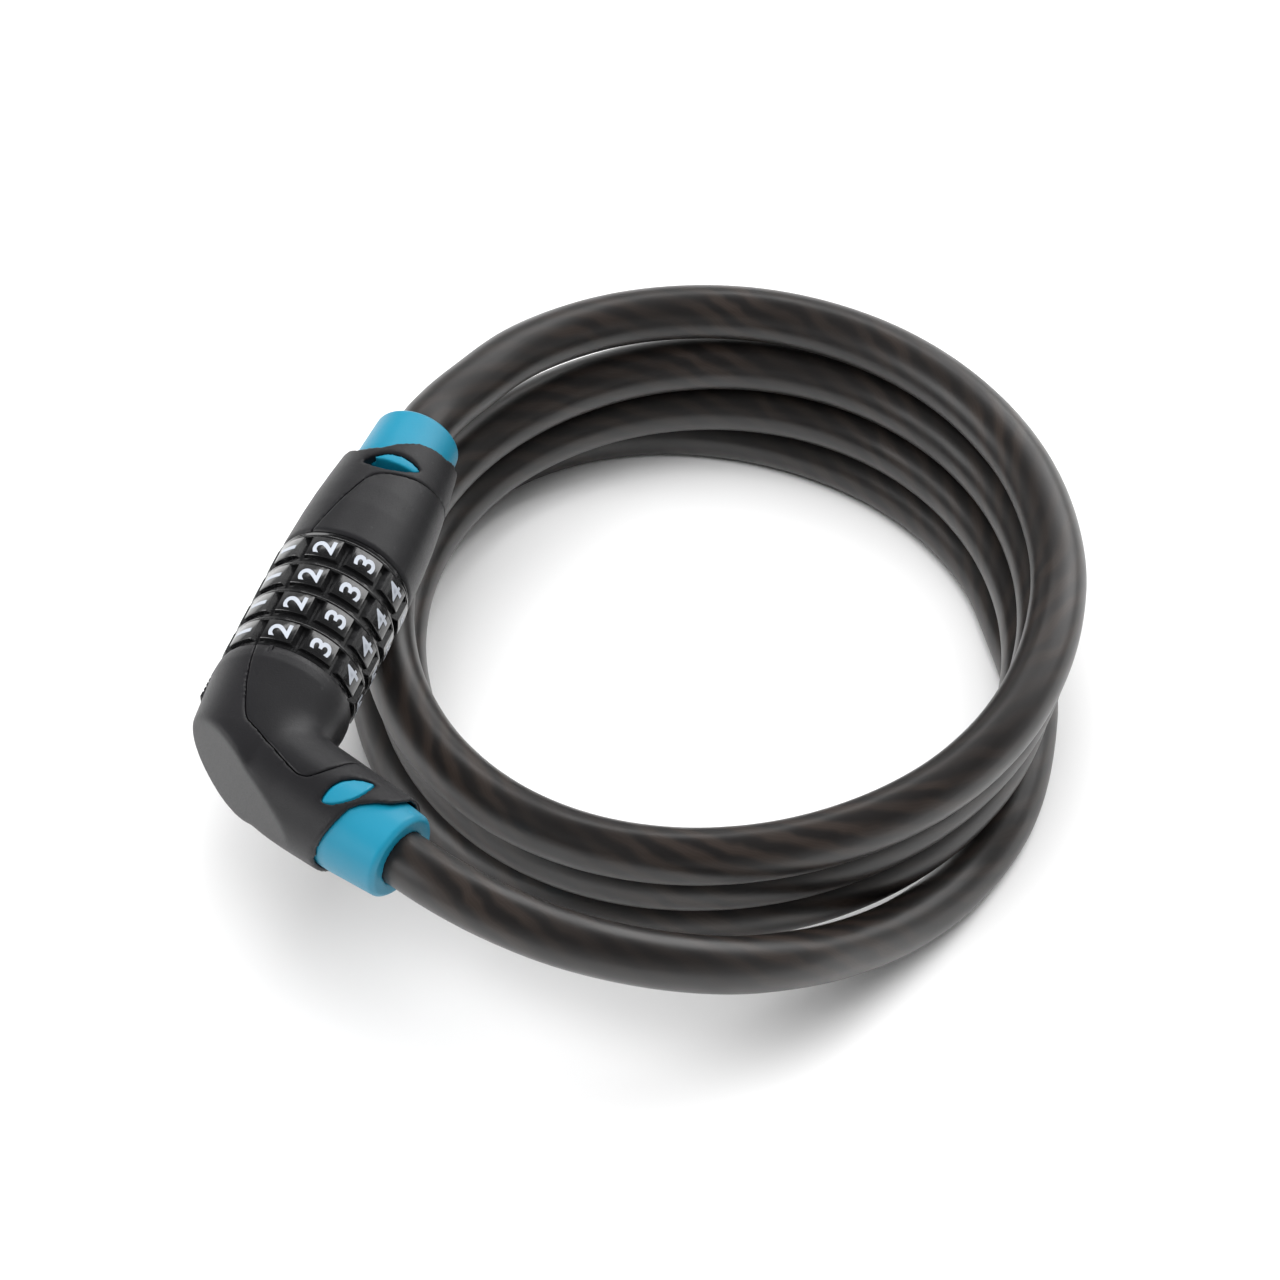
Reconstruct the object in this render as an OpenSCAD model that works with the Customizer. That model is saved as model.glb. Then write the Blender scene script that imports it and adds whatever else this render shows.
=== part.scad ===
// Combination cable lock, lying coiled: an angled lock body with four number dials, a plug with a
// toothed bolt, and a plastic-covered steel cable wound in four turns. Millimetres, +Z up.
// The origin is on the surface the lock lies on, at the middle of the flat under the lowest turn,
// straight behind the coil's middle. The head's axis runs along Y, with the plug towards +Y.

/* [Cable] */
// Outside diameter of the cable over its plastic cover
cable_d = 12; // [11:0.25:12.5]
// Clear height between one turn and the next
turn_gap = 0.5; // [0.45:0.05:1.5]
// Depth of the flat worn under the lowest turn
flat_depth = 1.2; // [0.8:0.1:1.6]
// Mean radius of the coil to the middle of the cable
coil_radius = 72; // [70:0.5:76]

/* [Dials] */
// Diameter over the number pads
dial_d = 30.2; // [29:0.2:32]
// Width of one dial along the axis
dial_w = 7.3; // [7:0.1:8.4]
// Clear space from one dial to the next, with the disc in its middle
dial_gap = 0.75; // [0.7:0.05:1.2]
// Thickness of the discs between the dials
disc_t = 0.3; // [0.2:0.05:0.4]
// Length of the number pads along the axis
pad_len = 5.4; // [4.8:0.1:5.6]
// Depth of the grooves between two number pads
groove_depth = 1.5; // [1:0.1:1.8]
// Width of the grooves at the top
groove_w = 2.6; // [2:0.1:3.2]
// Width of the grooves at the bottom
groove_floor = 0.5; // [0.3:0.1:1]

/* [Mechanism] */
// Diameter of the locking bolt
bolt_d = 6; // [5:0.2:6.4]
// Running clearance round the bolt, the core tube and the gate rings
run_fit = 0.06; // [0.03:0.01:0.1]
// Wall of the slotted core tube
tube_wall = 1.6; // [1.4:0.1:2]
// Height of the bolt's teeth above its shaft
tooth_h = 2.5; // [2.3:0.1:2.8]
// Width of the bolt's teeth
tooth_w = 2.5; // [2:0.1:3]
// Length of the bolt's teeth along the axis
tooth_len = 2.6; // [2.2:0.1:2.8]
// Outside diameter of the gate rings, and bore of the dials
gate_d = 16; // [15:0.2:17]
// Length of the gate rings along the axis
gate_len = 3.8; // [3.4:0.1:4]

/* [Elbow] */
// Diameter of the elbow beside the dials
elbow_rim_d = 29.6; // [29:0.2:31]
// Diameter of the elbow where it is fullest
elbow_d = 30.4; // [30:0.2:32]
// Diameter of the elbow at the corner of its bend
corner_d = 27.8; // [27:0.2:29]
// From the middle of the dials to the corner of the elbow
corner_reach = 34.6; // [34:0.1:37]
// Turn from the dials' axis to the cable's exit, in degrees
elbow_turn = 71; // [66:0.5:76]
// From the corner to the lip on the outer side of the bend
lip_reach = 27; // [25:0.5:28]
// From the corner to the lip on the inner side of the bend
tongue_reach = 37; // [35.6:0.2:38]
// From the corner to the end of the blue sleeve
sleeve_reach = 41.2; // [40.6:0.1:43]
// From the corner to the flat on the outer side of the bend
facet_reach = 6.1; // [5.9:0.1:8]
// Direction that the flat faces, turned from the dials' axis, in degrees
facet_turn = 146; // [142:0.5:148]

/* [Plug] */
// From the middle of the dials to the end of the plug's cover
cover_reach = 53.5; // [52:0.5:56]
// From the middle of the dials to the end of the plug's sleeve
plug_reach = 59.5; // [58.5:0.5:62]
// Wall of the blue sleeves round the cable, at their thin end
sleeve_wall = 3.6; // [3.2:0.1:4]
// Thickness of the panels let into the covers
panel_t = 1.2; // [0.8:0.1:1.6]
// Width of the seam round the panels
seam = 0.15; // [0.1:0.05:0.4]
// Length of the eye-shaped windows round the cover
window_len = 12; // [9:0.5:13]
// Width of the elbow's window along the cover
window_w = 5.2; // [4:0.2:5.6]
// Width of the plug's window along the cover
plug_window_w = 5; // [3.8:0.2:5.4]

/* [Small parts] */
// Outside diameter of the crimped ferrules
ferrule_d = 11; // [10:0.2:11.6]
// Diameter of the cross pins
pin_d = 2.5; // [2:0.1:3]
// Length of the code-change tab along the axis
tab_len = 7; // [6:0.5:8]
// Travel of the code-change tab
tab_travel = 2.5; // [2:0.25:3]

/* [Hidden] */
$fn = 72;
eps = 0.01;

// Dials and mechanism
dial_count = 4;
numbers = 10;
step = 360 / numbers;
first_groove = 10.3;
collar_len = 1.15;
index_turn = first_groove - step / 2;
dial_pitch = dial_w + dial_gap;
stack_end = dial_count / 2 * dial_pitch;
dial_r = dial_d / 2;
gate_r = gate_d / 2;
bolt_r = bolt_d / 2;
tube_bore_r = bolt_r + run_fit;
tube_r = tube_bore_r + tube_wall;
tooth_top = bolt_r + tooth_h;
slot_clear = 0.25;
slot_w = tooth_w + 2 * slot_clear;
keyway_top = tooth_top + 0.4;
ring_t = 0.5;
mouth_end = stack_end + ring_t;
face_gap = 0.3;
tube_seat = 9;
core_pin_z = -stack_end - 7;
core_pin_len = elbow_d - 2 * (panel_t + seam) - 1.7;
bolt_tip = stack_end + 4;
tab_end = -stack_end - 1.6;
tab_slot_end = tab_end - tab_len - tab_travel - 0.2;
tab_foot = 1;
spring_y = -7.5;
spring_r = 1.4;
spring_wire_r = 0.3;

// Covers and sleeves
cable_r = cable_d / 2;
sleeve_end_r = cable_r + sleeve_wall;
sleeve_r = sleeve_end_r + 0.8;
lip_wall = 0.9;
sleeve_fit = 0.05;
spigot_r = cable_r + 2;
spigot_len = 7;
cover_rim_r = dial_r - 0.2;
plug_window_z = cover_reach - 12.3;
plug_window_y = 1.4;
plug_window_turn = 15;
plug_window_len = window_len + 0.6;
plug_eye_depth = 0.7;
plug_eye_r = cover_rim_r - 1.8 - plug_eye_depth;
exit_window_z = lip_reach + 0.1;
exit_window_turn = -27.5;
cover_start = mouth_end + face_gap;
ferrule_len = 12;
pin_back = 4;
core_gap = 1.6;
ferrule_r = ferrule_d / 2;
plug_grip = plug_reach - 17;
exit_grip = sleeve_reach - 17;
core_end = plug_grip - ferrule_len - core_gap;
pin_r = pin_d / 2;
pin_len = 2 * spigot_r + 2.4;

// Coil: radius of the cable's middle every sixth of a turn, as offsets from the mean radius,
// clockwise from 30 degrees past the right-hand side
wander = [4.5, 2.8, -1.6, -3, -1, -0.4, 1, 0, -4, -3.2, -2.5, -3.2, -0.8, -0.8, 0.5, 5.4, -2, -4.2];
sixths = len(wander) - 1;
first_sixth = 2;
last_sixth = first_sixth + sixths;
mount_sixth = 18;
drop_start = 1.64;
drop_len = 2.5;
join_lead = 1.5;
exit_lead = 6;
rings_per_turn = 30;
sides = 12;
turn_pitch = cable_d + turn_gap;
floor_z = cable_r - flat_depth;
top_z = floor_z + 3 * turn_pitch;
coil_y = -(coil_radius + wander[mount_sixth - first_sixth]);

// Head: its axis lies on the third turn
dial_x = -69;
dial_y = coil_y - 55;
axis_z = floor_z + 2 * turn_pitch + cable_r + dial_r + 0.1;

// Route of the cable from the plug round the back, as offsets from the coil's middle
plug_route = [
    [-67.6, 15, 50.2], [-64.4, 25, 49.2], [-59.3, 38.4, 47.4], [-52.1, 49.7, 45.4],
    [-42.3, 59.8, 43.7], [-30.1, 67.5, 42.6], [-16.2, 72.2, 42.3], [-0.8, 73.7, 42.3],
    [14.9, 72, 42.3], [29.5, 67.2, 42.3], [42.9, 59.5, 42.3], [54.6, 49.3, 42.3],
    [63.6, 37.3, 42.3], [70.2, 23.8, 42.3], [73.8, 9.3, 42.3], [74.8, -5.4, 42.3], [73.2, -20, 42.3]
];
// Route of the cable from the coil round the front to the elbow
elbow_route = [
    [66, 22.5, 4.8], [71.3, 4.8, 4.8], [73.2, -15.7, 4.8], [69.2, -36.4, 5.4], [63.1, -53.3, 10],
    [55.3, -69.5, 18], [47.3, -82.4, 26.2], [38.3, -91.3, 31.5], [27.8, -98.5, 36.7],
    [16.3, -103.9, 41.6], [4.5, -107.3, 46], [-7.4, -108.2, 49.3]
];

// ---- Points and tubes ----------------------------------------------------------------------

function unit(v) = v / norm(v);
function smooth(t) = let (c = max(0, min(1, t))) c * c * (3 - 2 * c);

// Value at t of the smooth curve through the list v, spaced one apart
function through(v, t) =
    let (n = len(v) - 1, i = max(0, min(n - 1, floor(t))), f = t - i,
         a = v[max(0, i - 1)], b = v[i], c = v[i + 1], d = v[min(n, i + 2)])
    b + 0.5 * f * (c - a + f * (2 * a - 5 * b + 4 * c - d + f * (3 * (b - c) + d - a)));

// Middle of the cable at t sixths of a turn
function coil_point(t) =
    let (a = 90 - 60 * t,
         r = coil_radius + through(wander, t - first_sixth),
         turns = floor((t - drop_start) / 6),
         down = min(3, turns + smooth((t - drop_start - 6 * turns) / drop_len)))
    [r * cos(a), coil_y + r * sin(a), top_z - turn_pitch * down];

coil_in = unit(coil_point(first_sixth + 0.02) - coil_point(first_sixth));
coil_out = unit(coil_point(last_sixth) - coil_point(last_sixth - 0.02));
coil_start = coil_point(first_sixth) - join_lead * coil_in;
coil_end = coil_point(last_sixth) + join_lead * coil_out;
coil_steps = sixths / 6 * rings_per_turn;
coil_path = concat(
    [coil_start],
    [for (i = [0:coil_steps]) coil_point(first_sixth + i * sixths / coil_steps)],
    [coil_end]);

// Ends of the two sleeves, and the directions in which the cable leaves them
head = [dial_x, dial_y, axis_z];
exit_dir = [sin(elbow_turn), -cos(elbow_turn), 0];
plug_face = head + [0, plug_reach, 0];
exit_face = head - [0, corner_reach, 0] + sleeve_reach * exit_dir;
to_world = [0, coil_y, top_z - 42.3];
plug_path = concat(
    [plug_face, plug_face + [0, join_lead, 0]],
    [for (p = plug_route) p + to_world],
    [coil_start - join_lead * coil_in, coil_start]);
elbow_path = concat(
    [coil_end, coil_end + join_lead * coil_out],
    [for (p = elbow_route) p + to_world],
    [exit_face + exit_lead * exit_dir, exit_face]);

// Direction of a path at point i; its ends keep the direction of their last stretch
function heading(p, i) =
    i == 0 ? unit(p[1] - p[0]) :
    i == len(p) - 1 ? unit(p[i] - p[i - 1]) :
    unit(unit(p[i + 1] - p[i]) + unit(p[i] - p[i - 1]));

// A path with n rings on each stretch, on a smooth curve through its points; the first and last
// stretches stay straight
function refined(p, n) = concat(
    [p[0]],
    [for (i = [1:len(p) - 3], k = [0:n - 1]) through(p, i + k / n)],
    [p[len(p) - 2], p[len(p) - 1]]);

// Tube of a round section along a path, closed at both ends
module tube_along(p, r, n) {
    rings = len(p);
    points = [for (i = [0:rings - 1])
        let (h = heading(p, i), side = unit(cross([0, 0, 1], h)), up = cross(h, side))
        for (k = [0:n - 1]) let (a = 360 * (k + 0.5) / n) p[i] + r * (cos(a) * side + sin(a) * up)];
    walls = [for (i = [0:rings - 2], k = [0:n - 1])
        let (a = i * n + k, b = i * n + (k + 1) % n)
        each [[a, a + n, b], [b, a + n, b + n]]];
    last = (rings - 1) * n;
    caps = [for (k = [1:n - 2]) each [[0, k, k + 1], [last, last + k + 1, last + k]]];
    polyhedron(points, concat(walls, caps));
}

// Least clear space between stretches of a path that are more than a few rings apart
function least_gap(p, apart) =
    min([for (i = [0:len(p) - 1 - apart], j = [i + apart:len(p) - 1]) norm(p[i] - p[j])]) - cable_d;

echo(coil_least_gap = least_gap(coil_path, 12));

// ---- Frames --------------------------------------------------------------------------------

// Head frame: x up, y towards the coil, z along the axis towards the plug, from the dials' middle
module in_head() translate(head) rotate(a = -120, v = [1, 1, 1]) children();

// Exit frame: x up, z along the cable's exit from the corner, -y on the inner side of the bend
module in_exit() translate([0, 0, -corner_reach]) rotate([elbow_turn - 180, 0, 0]) children();

// Middle of dial k, from 0 at the plug to 3 at the elbow
function dial_z(k) = ((dial_count - 1) / 2 - k) * dial_pitch;

module ring(r_out, r_in, h) {
    difference() {
        cylinder(r = r_out, h = h);
        translate([0, 0, -eps]) cylinder(r = r_in, h = h + 2 * eps);
    }
}

// Slot above the axis that the bolt's teeth pass through
module tooth_slot(z0, h, top) translate([0, -slot_w / 2, z0]) cube([top, slot_w, h]);

// Eye: two arcs that meet in points, lying across the axis
module eye(length, width, h) {
    r = (length * length / 4 + width * width / 4) / width;
    linear_extrude(h) intersection() {
        translate([0, r - width / 2]) circle(r);
        translate([0, width / 2 - r]) circle(r);
    }
}

// Upright eye through the top of a cover at distance z along the axis, turned from lying across it
module eye_cut(z, length, width, x0, x1, y = 0, turn = 0)
    translate([x0, y, z]) rotate([0, 90, 0]) rotate([0, 0, 90 + turn]) eye(length, width, x1 - x0);

// Outline in the plane of the bend, cut straight through the head from top to bottom
module through_head(points, x0 = -25, x1 = 25)
    translate([x0, 0, 0]) rotate([90, 0, 90]) linear_extrude(x1 - x0) polygon(points);

// ---- Elbow ---------------------------------------------------------------------------------

module elbow_form(inset = 0) {
    rim_r = elbow_rim_d / 2 - inset;
    full_r = elbow_d / 2 - inset;
    corner_r = corner_d / 2 - inset;
    lip_r = sleeve_r + lip_wall - inset;
    difference() {
        union() {
            rotate_extrude() polygon([
                [0, -corner_reach], [corner_r + 0.05, -corner_reach], [full_r - 0.55, -corner_reach + 9],
                [full_r, -stack_end - 3.5], [full_r - 0.1, -stack_end - 1.5], [rim_r, -stack_end],
                [0, -stack_end]]);
            translate([0, 0, -corner_reach]) sphere(corner_r);
            in_exit() rotate_extrude() polygon([
                [0, 0], [lip_r + 1.5, 0], [lip_r + 0.6, 14], [lip_r, tongue_reach + 1],
                [0, tongue_reach + 1]]);
        }
        // The flat on the outer side of the bend
        translate([0, 0, -corner_reach]) rotate([facet_turn, 0, 0])
            translate([-25, -40, facet_reach - inset]) cube([50, 80, 30]);
        // The lip: short on the outer side, drawn out to a tongue on the inner side
        in_exit() through_head([
            [-25, tongue_reach - 0.5], [-8, tongue_reach - 0.3], [-6.6, tongue_reach],
            [-4.6, tongue_reach - 0.4], [-3.2, tongue_reach - 1.1], [-1.5, tongue_reach - 3.1],
            [1, tongue_reach - 5.4], [3, lip_reach + 3.2], [5.8, lip_reach + 2.5], [8.3, lip_reach + 1.7],
            [9.8, lip_reach + 1], [11, lip_reach], [25, lip_reach - 0.5], [25, 60], [-25, 60]]);
        // Underneath, the lip falls back sooner
        in_exit() through_head([
            [-25, tongue_reach - 0.5], [-9, tongue_reach - 0.6], [-6.6, tongue_reach - 1.6],
            [-4.2, tongue_reach - 3.9], [-1.5, lip_reach + 3.6], [1.5, lip_reach + 1.8],
            [4.5, lip_reach + 0.5], [8, lip_reach - 0.2], [25, lip_reach - 0.5], [25, 60], [-25, 60]],
            -25, 0);
    }
}

// Panel on the inner side of the bend, drawn in the plane of the bend as [y, z]
module elbow_panel_outline(gap) {
    corner_z = -corner_reach - 0.4;
    through_head([
        [-5.7 - gap, -stack_end + 1], [-4.7 - gap, corner_z + 13.6], [-3.3 - gap, corner_z + 8.4],
        [-1.5 - gap, corner_z + 3.6], [-0.5 - gap, corner_z + 1.2], [0.6 - gap, corner_z - 0.2 - gap],
        [6.7, corner_z - 3.4 - gap], [11, corner_z - 6.1 - gap], [14.2, corner_z - 7.9 - gap],
        [15.4, corner_z - 8.2 - gap], [16.6, corner_z - 8 - gap], [18, corner_z - 7.2 - gap],
        [19.6 + gap, corner_z - 5.7 - gap], [21.4 + gap, corner_z - 3.5], [23.8 + gap, corner_z + 0.5],
        [30, corner_z + 12], [30, -stack_end + 1]]);
}

module elbow_shell() {
    color([0.10, 0.10, 0.11]) in_head() difference() {
        elbow_form();
        difference() {
            elbow_panel_outline(seam);
            elbow_form(panel_t + seam);
        }
        translate([0, 0, -stack_end - tube_seat]) cylinder(r = tube_r, h = tube_seat + 1);
        in_exit() translate([0, 0, exit_grip - spigot_len - 1 + sleeve_fit])
            cylinder(r = spigot_r + sleeve_fit, h = 20);
        in_exit() translate([0, 0, exit_grip - 1]) cylinder(r = sleeve_r + sleeve_fit, h = 60);
        in_exit() translate([0, 0, exit_grip - ferrule_len]) cylinder(r = ferrule_r, h = 10);
        in_exit() eye_cut(exit_window_z, window_len, window_w, 5, 20, 0, exit_window_turn);
        in_exit() cross_pin(exit_grip);
        core_pin_form();
        index_form();
        // Slot for the code-change tab, and under it the pocket for the tab's foot and spring
        translate([-2.7, -20, tab_slot_end]) cube([5.4, 11, tab_end + 0.3 - tab_slot_end]);
        translate([-1.95, -9.5, tab_slot_end])
            cube([3.9, spring_y + spring_r + 0.5 + 9.5, tab_end + 0.3 - tab_slot_end]);
    }
}

module elbow_panel() {
    color([0.13, 0.13, 0.14]) in_head() difference() {
        intersection() {
            elbow_form();
            elbow_panel_outline(0);
        }
        elbow_form(panel_t);
        in_exit() eye_cut(exit_window_z, window_len + 0.6, window_w + 0.6, 5, 20, 0, exit_window_turn);
        in_exit() translate([0, 0, exit_grip - 1]) cylinder(r = sleeve_r + sleeve_fit, h = 60);
        index_form();
    }
}

// Small rib on the elbow's rim that the numbers are read against
module index_form()
    rotate([0, 0, index_turn]) translate([elbow_rim_d / 2 - 0.7, -0.4, -stack_end - 2.2]) cube([1, 0.8, 2]);

module index_mark() color([0.75, 0.76, 0.78]) in_head() index_form();

// ---- Sleeves, ferrules and cable ends -------------------------------------------------------

// Blue sleeve that ends at z1, with a spigot on its inner end for the cross pin, and an eye at z_eye
// that stands in the cover's window
module sleeve(grip, z1, z_eye, eye_l, eye_w, eye_top, y = 0, turn = 0) {
    z0 = grip - spigot_len - 1 + 0.1;
    step = grip - 1 + 0.1;
    difference() {
        union() {
            rotate_extrude() polygon([
                [0, z0], [spigot_r, z0], [spigot_r, step], [sleeve_r, step], [sleeve_r, z1 - 12],
                [sleeve_end_r, z1 - 0.9], [sleeve_end_r - 0.9, z1], [0, z1]]);
            intersection() {
                eye_cut(z_eye, eye_l - 0.4, eye_w - 0.4, 5, 20, y, turn);
                translate([0, 0, step]) cylinder(r = eye_top, h = z1 - step);
            }
        }
        translate([0, 0, grip]) cylinder(r = cable_r, h = z1 - grip + 1);
        translate([0, 0, z0 - 1]) cylinder(r = ferrule_r, h = grip - z0 + 1 + eps);
        cross_pin(grip);
    }
}

module exit_sleeve() {
    color([0.16, 0.62, 0.80]) in_head() in_exit()
        sleeve(exit_grip, sleeve_reach, exit_window_z, window_len, window_w, sleeve_r + 0.8, 0,
            exit_window_turn);
}

module plug_sleeve() {
    color([0.16, 0.62, 0.80]) in_head()
        sleeve(plug_grip, plug_reach, plug_window_z, plug_window_len, plug_window_w, plug_eye_r,
            plug_window_y, plug_window_turn);
}

// Crimped ferrule with three rolled grooves and a cross hole for its pin
module ferrule(end) {
    difference() {
        translate([0, 0, end - ferrule_len]) cylinder(r = ferrule_r, h = ferrule_len);
        for (i = [0:2]) translate([0, 0, end - ferrule_len + 1.2 + 1.6 * i])
            ring(ferrule_r + 1, ferrule_r - 0.5, 0.8);
        translate([-ferrule_r - 1, 0, end - pin_back]) rotate([0, 90, 0])
            cylinder(r = pin_r, h = 2 * ferrule_r + 2, $fn = 32);
    }
}

module exit_ferrule() color([0.62, 0.63, 0.65]) in_head() in_exit() ferrule(exit_grip);
module plug_ferrule() color([0.62, 0.63, 0.65]) in_head() ferrule(plug_grip);

module cross_pin(end) translate([-pin_len / 2, 0, end - pin_back]) rotate([0, 90, 0])
    cylinder(r = pin_r, h = pin_len, $fn = 32);

module exit_pin() color("silver") in_head() in_exit() cross_pin(exit_grip);
module plug_pin() color("silver") in_head() cross_pin(plug_grip);

module exit_cable_end() color([0.18, 0.17, 0.17]) in_head() in_exit()
    translate([0, 0, exit_grip]) cylinder(r = cable_r, h = sleeve_reach - exit_grip);
module plug_cable_end() color([0.18, 0.17, 0.17]) in_head()
    translate([0, 0, plug_grip]) cylinder(r = cable_r, h = plug_reach - plug_grip);

// ---- Mechanism -----------------------------------------------------------------------------

module core_tube() {
    color([0.70, 0.70, 0.68]) in_head() difference() {
        translate([0, 0, -stack_end - tube_seat]) cylinder(r = tube_r, h = 2 * stack_end + tube_seat);
        translate([0, 0, -bolt_tip - 1]) cylinder(r = tube_bore_r, h = 3 * stack_end);
        tooth_slot(-stack_end, 2 * stack_end + 1, tube_r + 1);
        // Flat underneath that carries the detent spring
        translate([-tube_r - 1, -3, -stack_end]) cube([1.4, 6, 2 * stack_end + 1]);
        core_pin_form();
    }
}

module core_pin_form() translate([-core_pin_len / 2, 0, core_pin_z]) rotate([0, 90, 0])
    cylinder(r = pin_r, h = core_pin_len, $fn = 32);

module core_pin() color("silver") in_head() core_pin_form();

// Strip under the core tube with one bent finger for each dial
module detent_spring() {
    strip_t = 0.3;
    strip_w = 1.8;
    strip_x = -tube_r + 0.4;
    color([0.72, 0.73, 0.75]) in_head() union() {
        translate([strip_x - strip_t, -strip_w / 2, -stack_end + 0.5])
            cube([strip_t, strip_w, 2 * stack_end - 1]);
        for (k = [0:dial_count - 1]) translate([0, strip_w / 2, dial_z(k) - dial_w / 2 + 0.3])
            rotate([90, 0, 0]) linear_extrude(strip_w) polygon([
                [strip_x, 0], [-gate_r + 0.7, 1], [-gate_r + 0.4, 1.35], [-gate_r + 0.7, 1.7],
                [strip_x, 2.7], [strip_x, 2.2], [-gate_r + 1.1, 1.35], [strip_x, 0.5]]);
    }
}

module gate_ring(k) {
    lug_w = 1.6;
    z0 = dial_z(k) + dial_w / 2 - gate_len;
    color([0.80, 0.66, 0.36]) in_head() difference() {
        union() {
            translate([0, 0, z0]) cylinder(r = gate_r, h = gate_len);
            for (a = [90, 270]) rotate([0, 0, a])
                translate([gate_r - 0.5, -lug_w / 2, z0]) cube([1.3, lug_w, gate_len]);
        }
        translate([0, 0, z0 - 1]) cylinder(r = tube_r + run_fit, h = gate_len + 2);
        tooth_slot(z0 - 1, gate_len + 2, keyway_top);
    }
}

// Dial: a collar, then the number pads with a groove between each two, then a flange that closes the
// grooves on the side of the plug
module dial(k) {
    lug_slot = 1.8;
    base_r = dial_r - groove_depth;
    half = dial_w / 2;
    pad_0 = collar_len - half;
    pad_1 = pad_0 + pad_len;
    flare = (groove_w - groove_floor) / 2 / groove_depth;
    color([0.07, 0.07, 0.08]) in_head() translate([0, 0, dial_z(k)]) difference() {
        rotate_extrude() polygon([
            [gate_r, -half], [base_r + 0.3, -half], [base_r + 0.3, pad_0], [dial_r - 0.15, pad_0],
            [dial_r, pad_0 + 0.15], [dial_r, pad_1 - 0.15], [dial_r - 0.3, pad_1],
            [dial_r - 0.3, pad_1 + 0.1], [dial_r - 0.1, pad_1 + 0.2], [dial_r - 0.1, half - 0.25],
            [dial_r - 0.4, half], [gate_r, half]]);
        for (i = [0:numbers - 1]) rotate([0, 0, first_groove + i * step])
            translate([0, 0, -half - 1]) linear_extrude(half + 1 + pad_1) polygon([
                [base_r, -groove_floor / 2], [dial_r + 0.5, -groove_w / 2 - 0.5 * flare],
                [dial_r + 0.5, groove_w / 2 + 0.5 * flare], [base_r, groove_floor / 2]]);
        // Slots for the gate ring's lugs, one for every number
        for (i = [0:numbers - 1]) rotate([0, 0, 90 + i * step])
            translate([gate_r - 1, -lug_slot / 2, -half - 1]) cube([1.9, lug_slot, dial_w + 2]);
    }
}

module dial_discs() {
    color([0.05, 0.05, 0.06]) in_head()
        for (k = [1:dial_count - 1]) translate([0, 0, dial_z(k) + dial_pitch / 2 - disc_t / 2])
            difference() {
                cylinder(r = dial_r - 0.6, h = disc_t);
                translate([0, 0, -1]) cylinder(r = tube_r, h = 3);
                tooth_slot(-1, 3, keyway_top);
            }
}

// Black ring that closes the stack of dials at the plug
module mouth_ring() {
    color([0.05, 0.05, 0.06]) in_head() difference() {
        rotate_extrude() polygon([
            [tube_bore_r, stack_end], [dial_r - 0.9, stack_end], [dial_r - 0.5, stack_end + 0.4],
            [dial_r - 0.5, mouth_end], [tube_bore_r, mouth_end]]);
        tooth_slot(stack_end - 1, ring_t + 2, keyway_top);
    }
}

// Bolt with a tooth for each dial, at rest behind its gate ring
module locking_bolt() {
    color([0.82, 0.83, 0.85]) in_head() union() {
        rotate_extrude() polygon([
            [0, -bolt_tip], [bolt_r - 1.2, -bolt_tip], [bolt_r, -bolt_tip + 1.6],
            [bolt_r, core_end - 2], [0, core_end - 2]]);
        for (k = [0:dial_count - 1]) translate([0, -tooth_w / 2, dial_z(k) - dial_w / 2 + 0.45])
            cube([tooth_top, tooth_w, tooth_len]);
    }
}

// ---- Code-change tab -----------------------------------------------------------------------

module change_tab() {
    back = elbow_d / 2 + 0.1;
    color([0.12, 0.12, 0.13]) in_head() difference() {
        union() {
            translate([-2.5, -back, tab_end - tab_len]) cube([5, back - 9.3, tab_len]);
            // Foot that presses on the spring
            translate([-1.7, -9.5, tab_end - tab_foot]) cube([3.4, spring_y + spring_r + 0.3 + 9.5, tab_foot]);
        }
        for (i = [0:3]) translate([-3, -back - 0.1, tab_end - tab_len + 1.4 + 1.3 * i])
            cube([6, 0.5, 0.5]);
    }
}

// Small spring under the tab, four curls of round wire from the foot to the end of the pocket
module change_spring() {
    curls = 4;
    z0 = tab_end - tab_foot - spring_wire_r - eps;
    length = z0 - tab_slot_end - spring_wire_r - eps;
    steps = curls * 10;
    color("silver") in_head() tube_along([
        for (i = [0:steps]) [
            spring_r * cos(36 * i), spring_y + spring_r * sin(36 * i),
            z0 - length * i / steps]], spring_wire_r, 6);
}

// ---- Plug ----------------------------------------------------------------------------------

module cover_form(inset = 0) {
    end_r = sleeve_r + lip_wall;
    rotate_extrude() polygon([
        [0, cover_start], [cover_rim_r - inset - 0.4, cover_start], [cover_rim_r - inset, cover_start + 0.6],
        [cover_rim_r - 0.4 - inset, cover_start + 10], [cover_rim_r - 0.85 - inset, cover_start + 16],
        [cover_rim_r - 1.5 - inset, cover_start + 22], [end_r + 1.35 - inset, cover_start + 28],
        [end_r + 0.8 - inset, cover_start + 31.5], [end_r + 0.3 - inset, cover_start + 34.5],
        [end_r - inset, cover_reach + 1], [0, cover_reach + 1]]);
}

module plug_panel_outline(gap)
    through_head([
        [-7 - gap, cover_start - 1], [-6.7 - gap, cover_start + 0.7], [-6 - gap, cover_start + 3.5],
        [-5 - gap, cover_start + 7.1], [-3.8 - gap, cover_start + 10.9], [-2.7 - gap, cover_start + 14.1],
        [-1.5 - gap, cover_start + 17], [-0.3 - 0.8 * gap, cover_start + 18.8 + 0.6 * gap],
        [1.1, cover_start + 19.8 + gap], [2.9, cover_start + 20.6 + gap], [5.2, cover_start + 21.5 + gap],
        [7.5, cover_start + 22.5 + gap], [9.6, cover_start + 23.2 + gap], [11.4, cover_start + 23.8 + gap],
        [12.8, cover_start + 24.7 + gap], [20, cover_start + 26 + gap], [20, cover_start - 1]]);

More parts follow.
